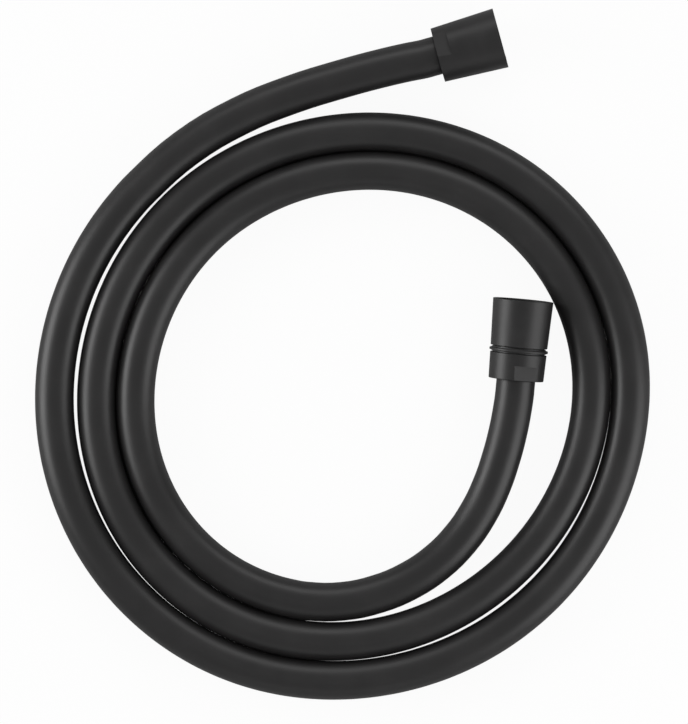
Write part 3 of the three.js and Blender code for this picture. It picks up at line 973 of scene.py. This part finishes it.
# Floor and light
floorLook = {
    "size": 8.0, "bounceTone": 0.5, "seenTone": 0.97, "cameraWhite": 0.94, "mirrorWhite": 0.04,
    "drop": 0.45 * mm,  # room for the conical nut's rim, which dips as it slides back
}
lamps = [
    {"name": "leftPanel", "bearing": 175, "elevation": 18, "distance": 1.1,
     "width": 0.82, "height": 0.64, "radiance": 5.0},
    {"name": "rightPanel", "bearing": 336, "elevation": 23.5, "distance": 0.8,
     "width": 0.7, "height": 0.64, "radiance": 2.35},
    {"name": "topPanel", "bearing": 80, "elevation": 29, "distance": 1.6,
     "width": 2.1, "height": 0.65, "radiance": 2.0},
    {"name": "bottomPanel", "bearing": 270, "elevation": 18, "distance": 1.6,
     "width": 1.8, "height": 0.8, "radiance": 0.4},
]
worldLook = {"horizon": 0.15, "overhead": 0.4}


def addFloor():
    bm = bmesh.new()
    bmesh.ops.create_grid(bm, x_segments=1, y_segments=1, size=floorLook["size"] / 2)
    bmesh.ops.translate(bm, vec=(0, 0, -floorLook["drop"]), verts=bm.verts)
    mesh = bpy.data.meshes.new("floor")
    bm.to_mesh(mesh)
    bm.free()
    floor = bpy.data.objects.new("floor", mesh)
    collection.objects.link(floor)
    material, tree, shader = newMaterial("paleFloor")
    shader.inputs["Roughness"].default_value = 1.0
    shader.inputs["Specular IOR Level"].default_value = 0.0
    # the camera sees it nearly white with a faint shadow, and gloss and glass see a little of it
    lightPath = tree.nodes.new("ShaderNodeLightPath")
    tone = spread(
        tree, lightPath.outputs["Is Camera Ray"], floorLook["bounceTone"], floorLook["seenTone"],
    )
    tree.links.new(tone, shader.inputs["Base Color"])
    mirrored = mathNode(
        tree, "ADD", lightPath.outputs["Is Glossy Ray"], lightPath.outputs["Is Transmission Ray"],
        clamp=True,
    )
    mirrored = mathNode(tree, "MULTIPLY", mirrored, floorLook["mirrorWhite"])
    seen = mathNode(tree, "MULTIPLY", lightPath.outputs["Is Camera Ray"], floorLook["cameraWhite"])
    share = mathNode(tree, "ADD", seen, mirrored, clamp=True)
    white = tree.nodes.new("ShaderNodeEmission")
    mix = tree.nodes.new("ShaderNodeMixShader")
    tree.links.new(share, mix.inputs[0])
    tree.links.new(shader.outputs[0], mix.inputs[1])
    tree.links.new(white.outputs[0], mix.inputs[2])
    tree.links.new(mix.outputs[0], tree.nodes["Material Output"].inputs["Surface"])
    dress(floor, material)


def addLamp(look):
    data = bpy.data.lights.new(look["name"], "AREA")
    data.shape = "RECTANGLE"
    data.size = look["width"]
    data.size_y = look["height"]
    data.energy = math.pi * look["width"] * look["height"] * look["radiance"]
    lamp = bpy.data.objects.new(look["name"], data)
    bearing, elevation = math.radians(look["bearing"]), math.radians(look["elevation"])
    direction = Vector((
        math.cos(bearing) * math.cos(elevation),
        math.sin(bearing) * math.cos(elevation),
        math.sin(elevation),
    ))
    lamp.location = direction * look["distance"]
    lamp.rotation_euler = direction.to_track_quat("Z", "Y").to_euler()
    lamp.visible_camera = False
    collection.objects.link(lamp)


def addStudio():
    # pale room light, brighter overhead than at the horizon
    world = bpy.data.worlds.new("studio")
    world.use_nodes = True
    tree = world.node_tree
    direction = tree.nodes.new("ShaderNodeTexCoord")
    split = tree.nodes.new("ShaderNodeSeparateXYZ")
    tree.links.new(direction.outputs["Generated"], split.inputs[0])
    strength = spread(tree, split.outputs["Z"], worldLook["horizon"], worldLook["overhead"])
    background = tree.nodes["Background"]
    background.inputs["Color"].default_value = (1, 1, 1, 1)
    tree.links.new(strength, background.inputs["Strength"])
    scene.world = world


addFloor()
for look in lamps:
    addLamp(look)
addStudio()
scene.view_settings.view_transform = "Standard"
report("floor and light")
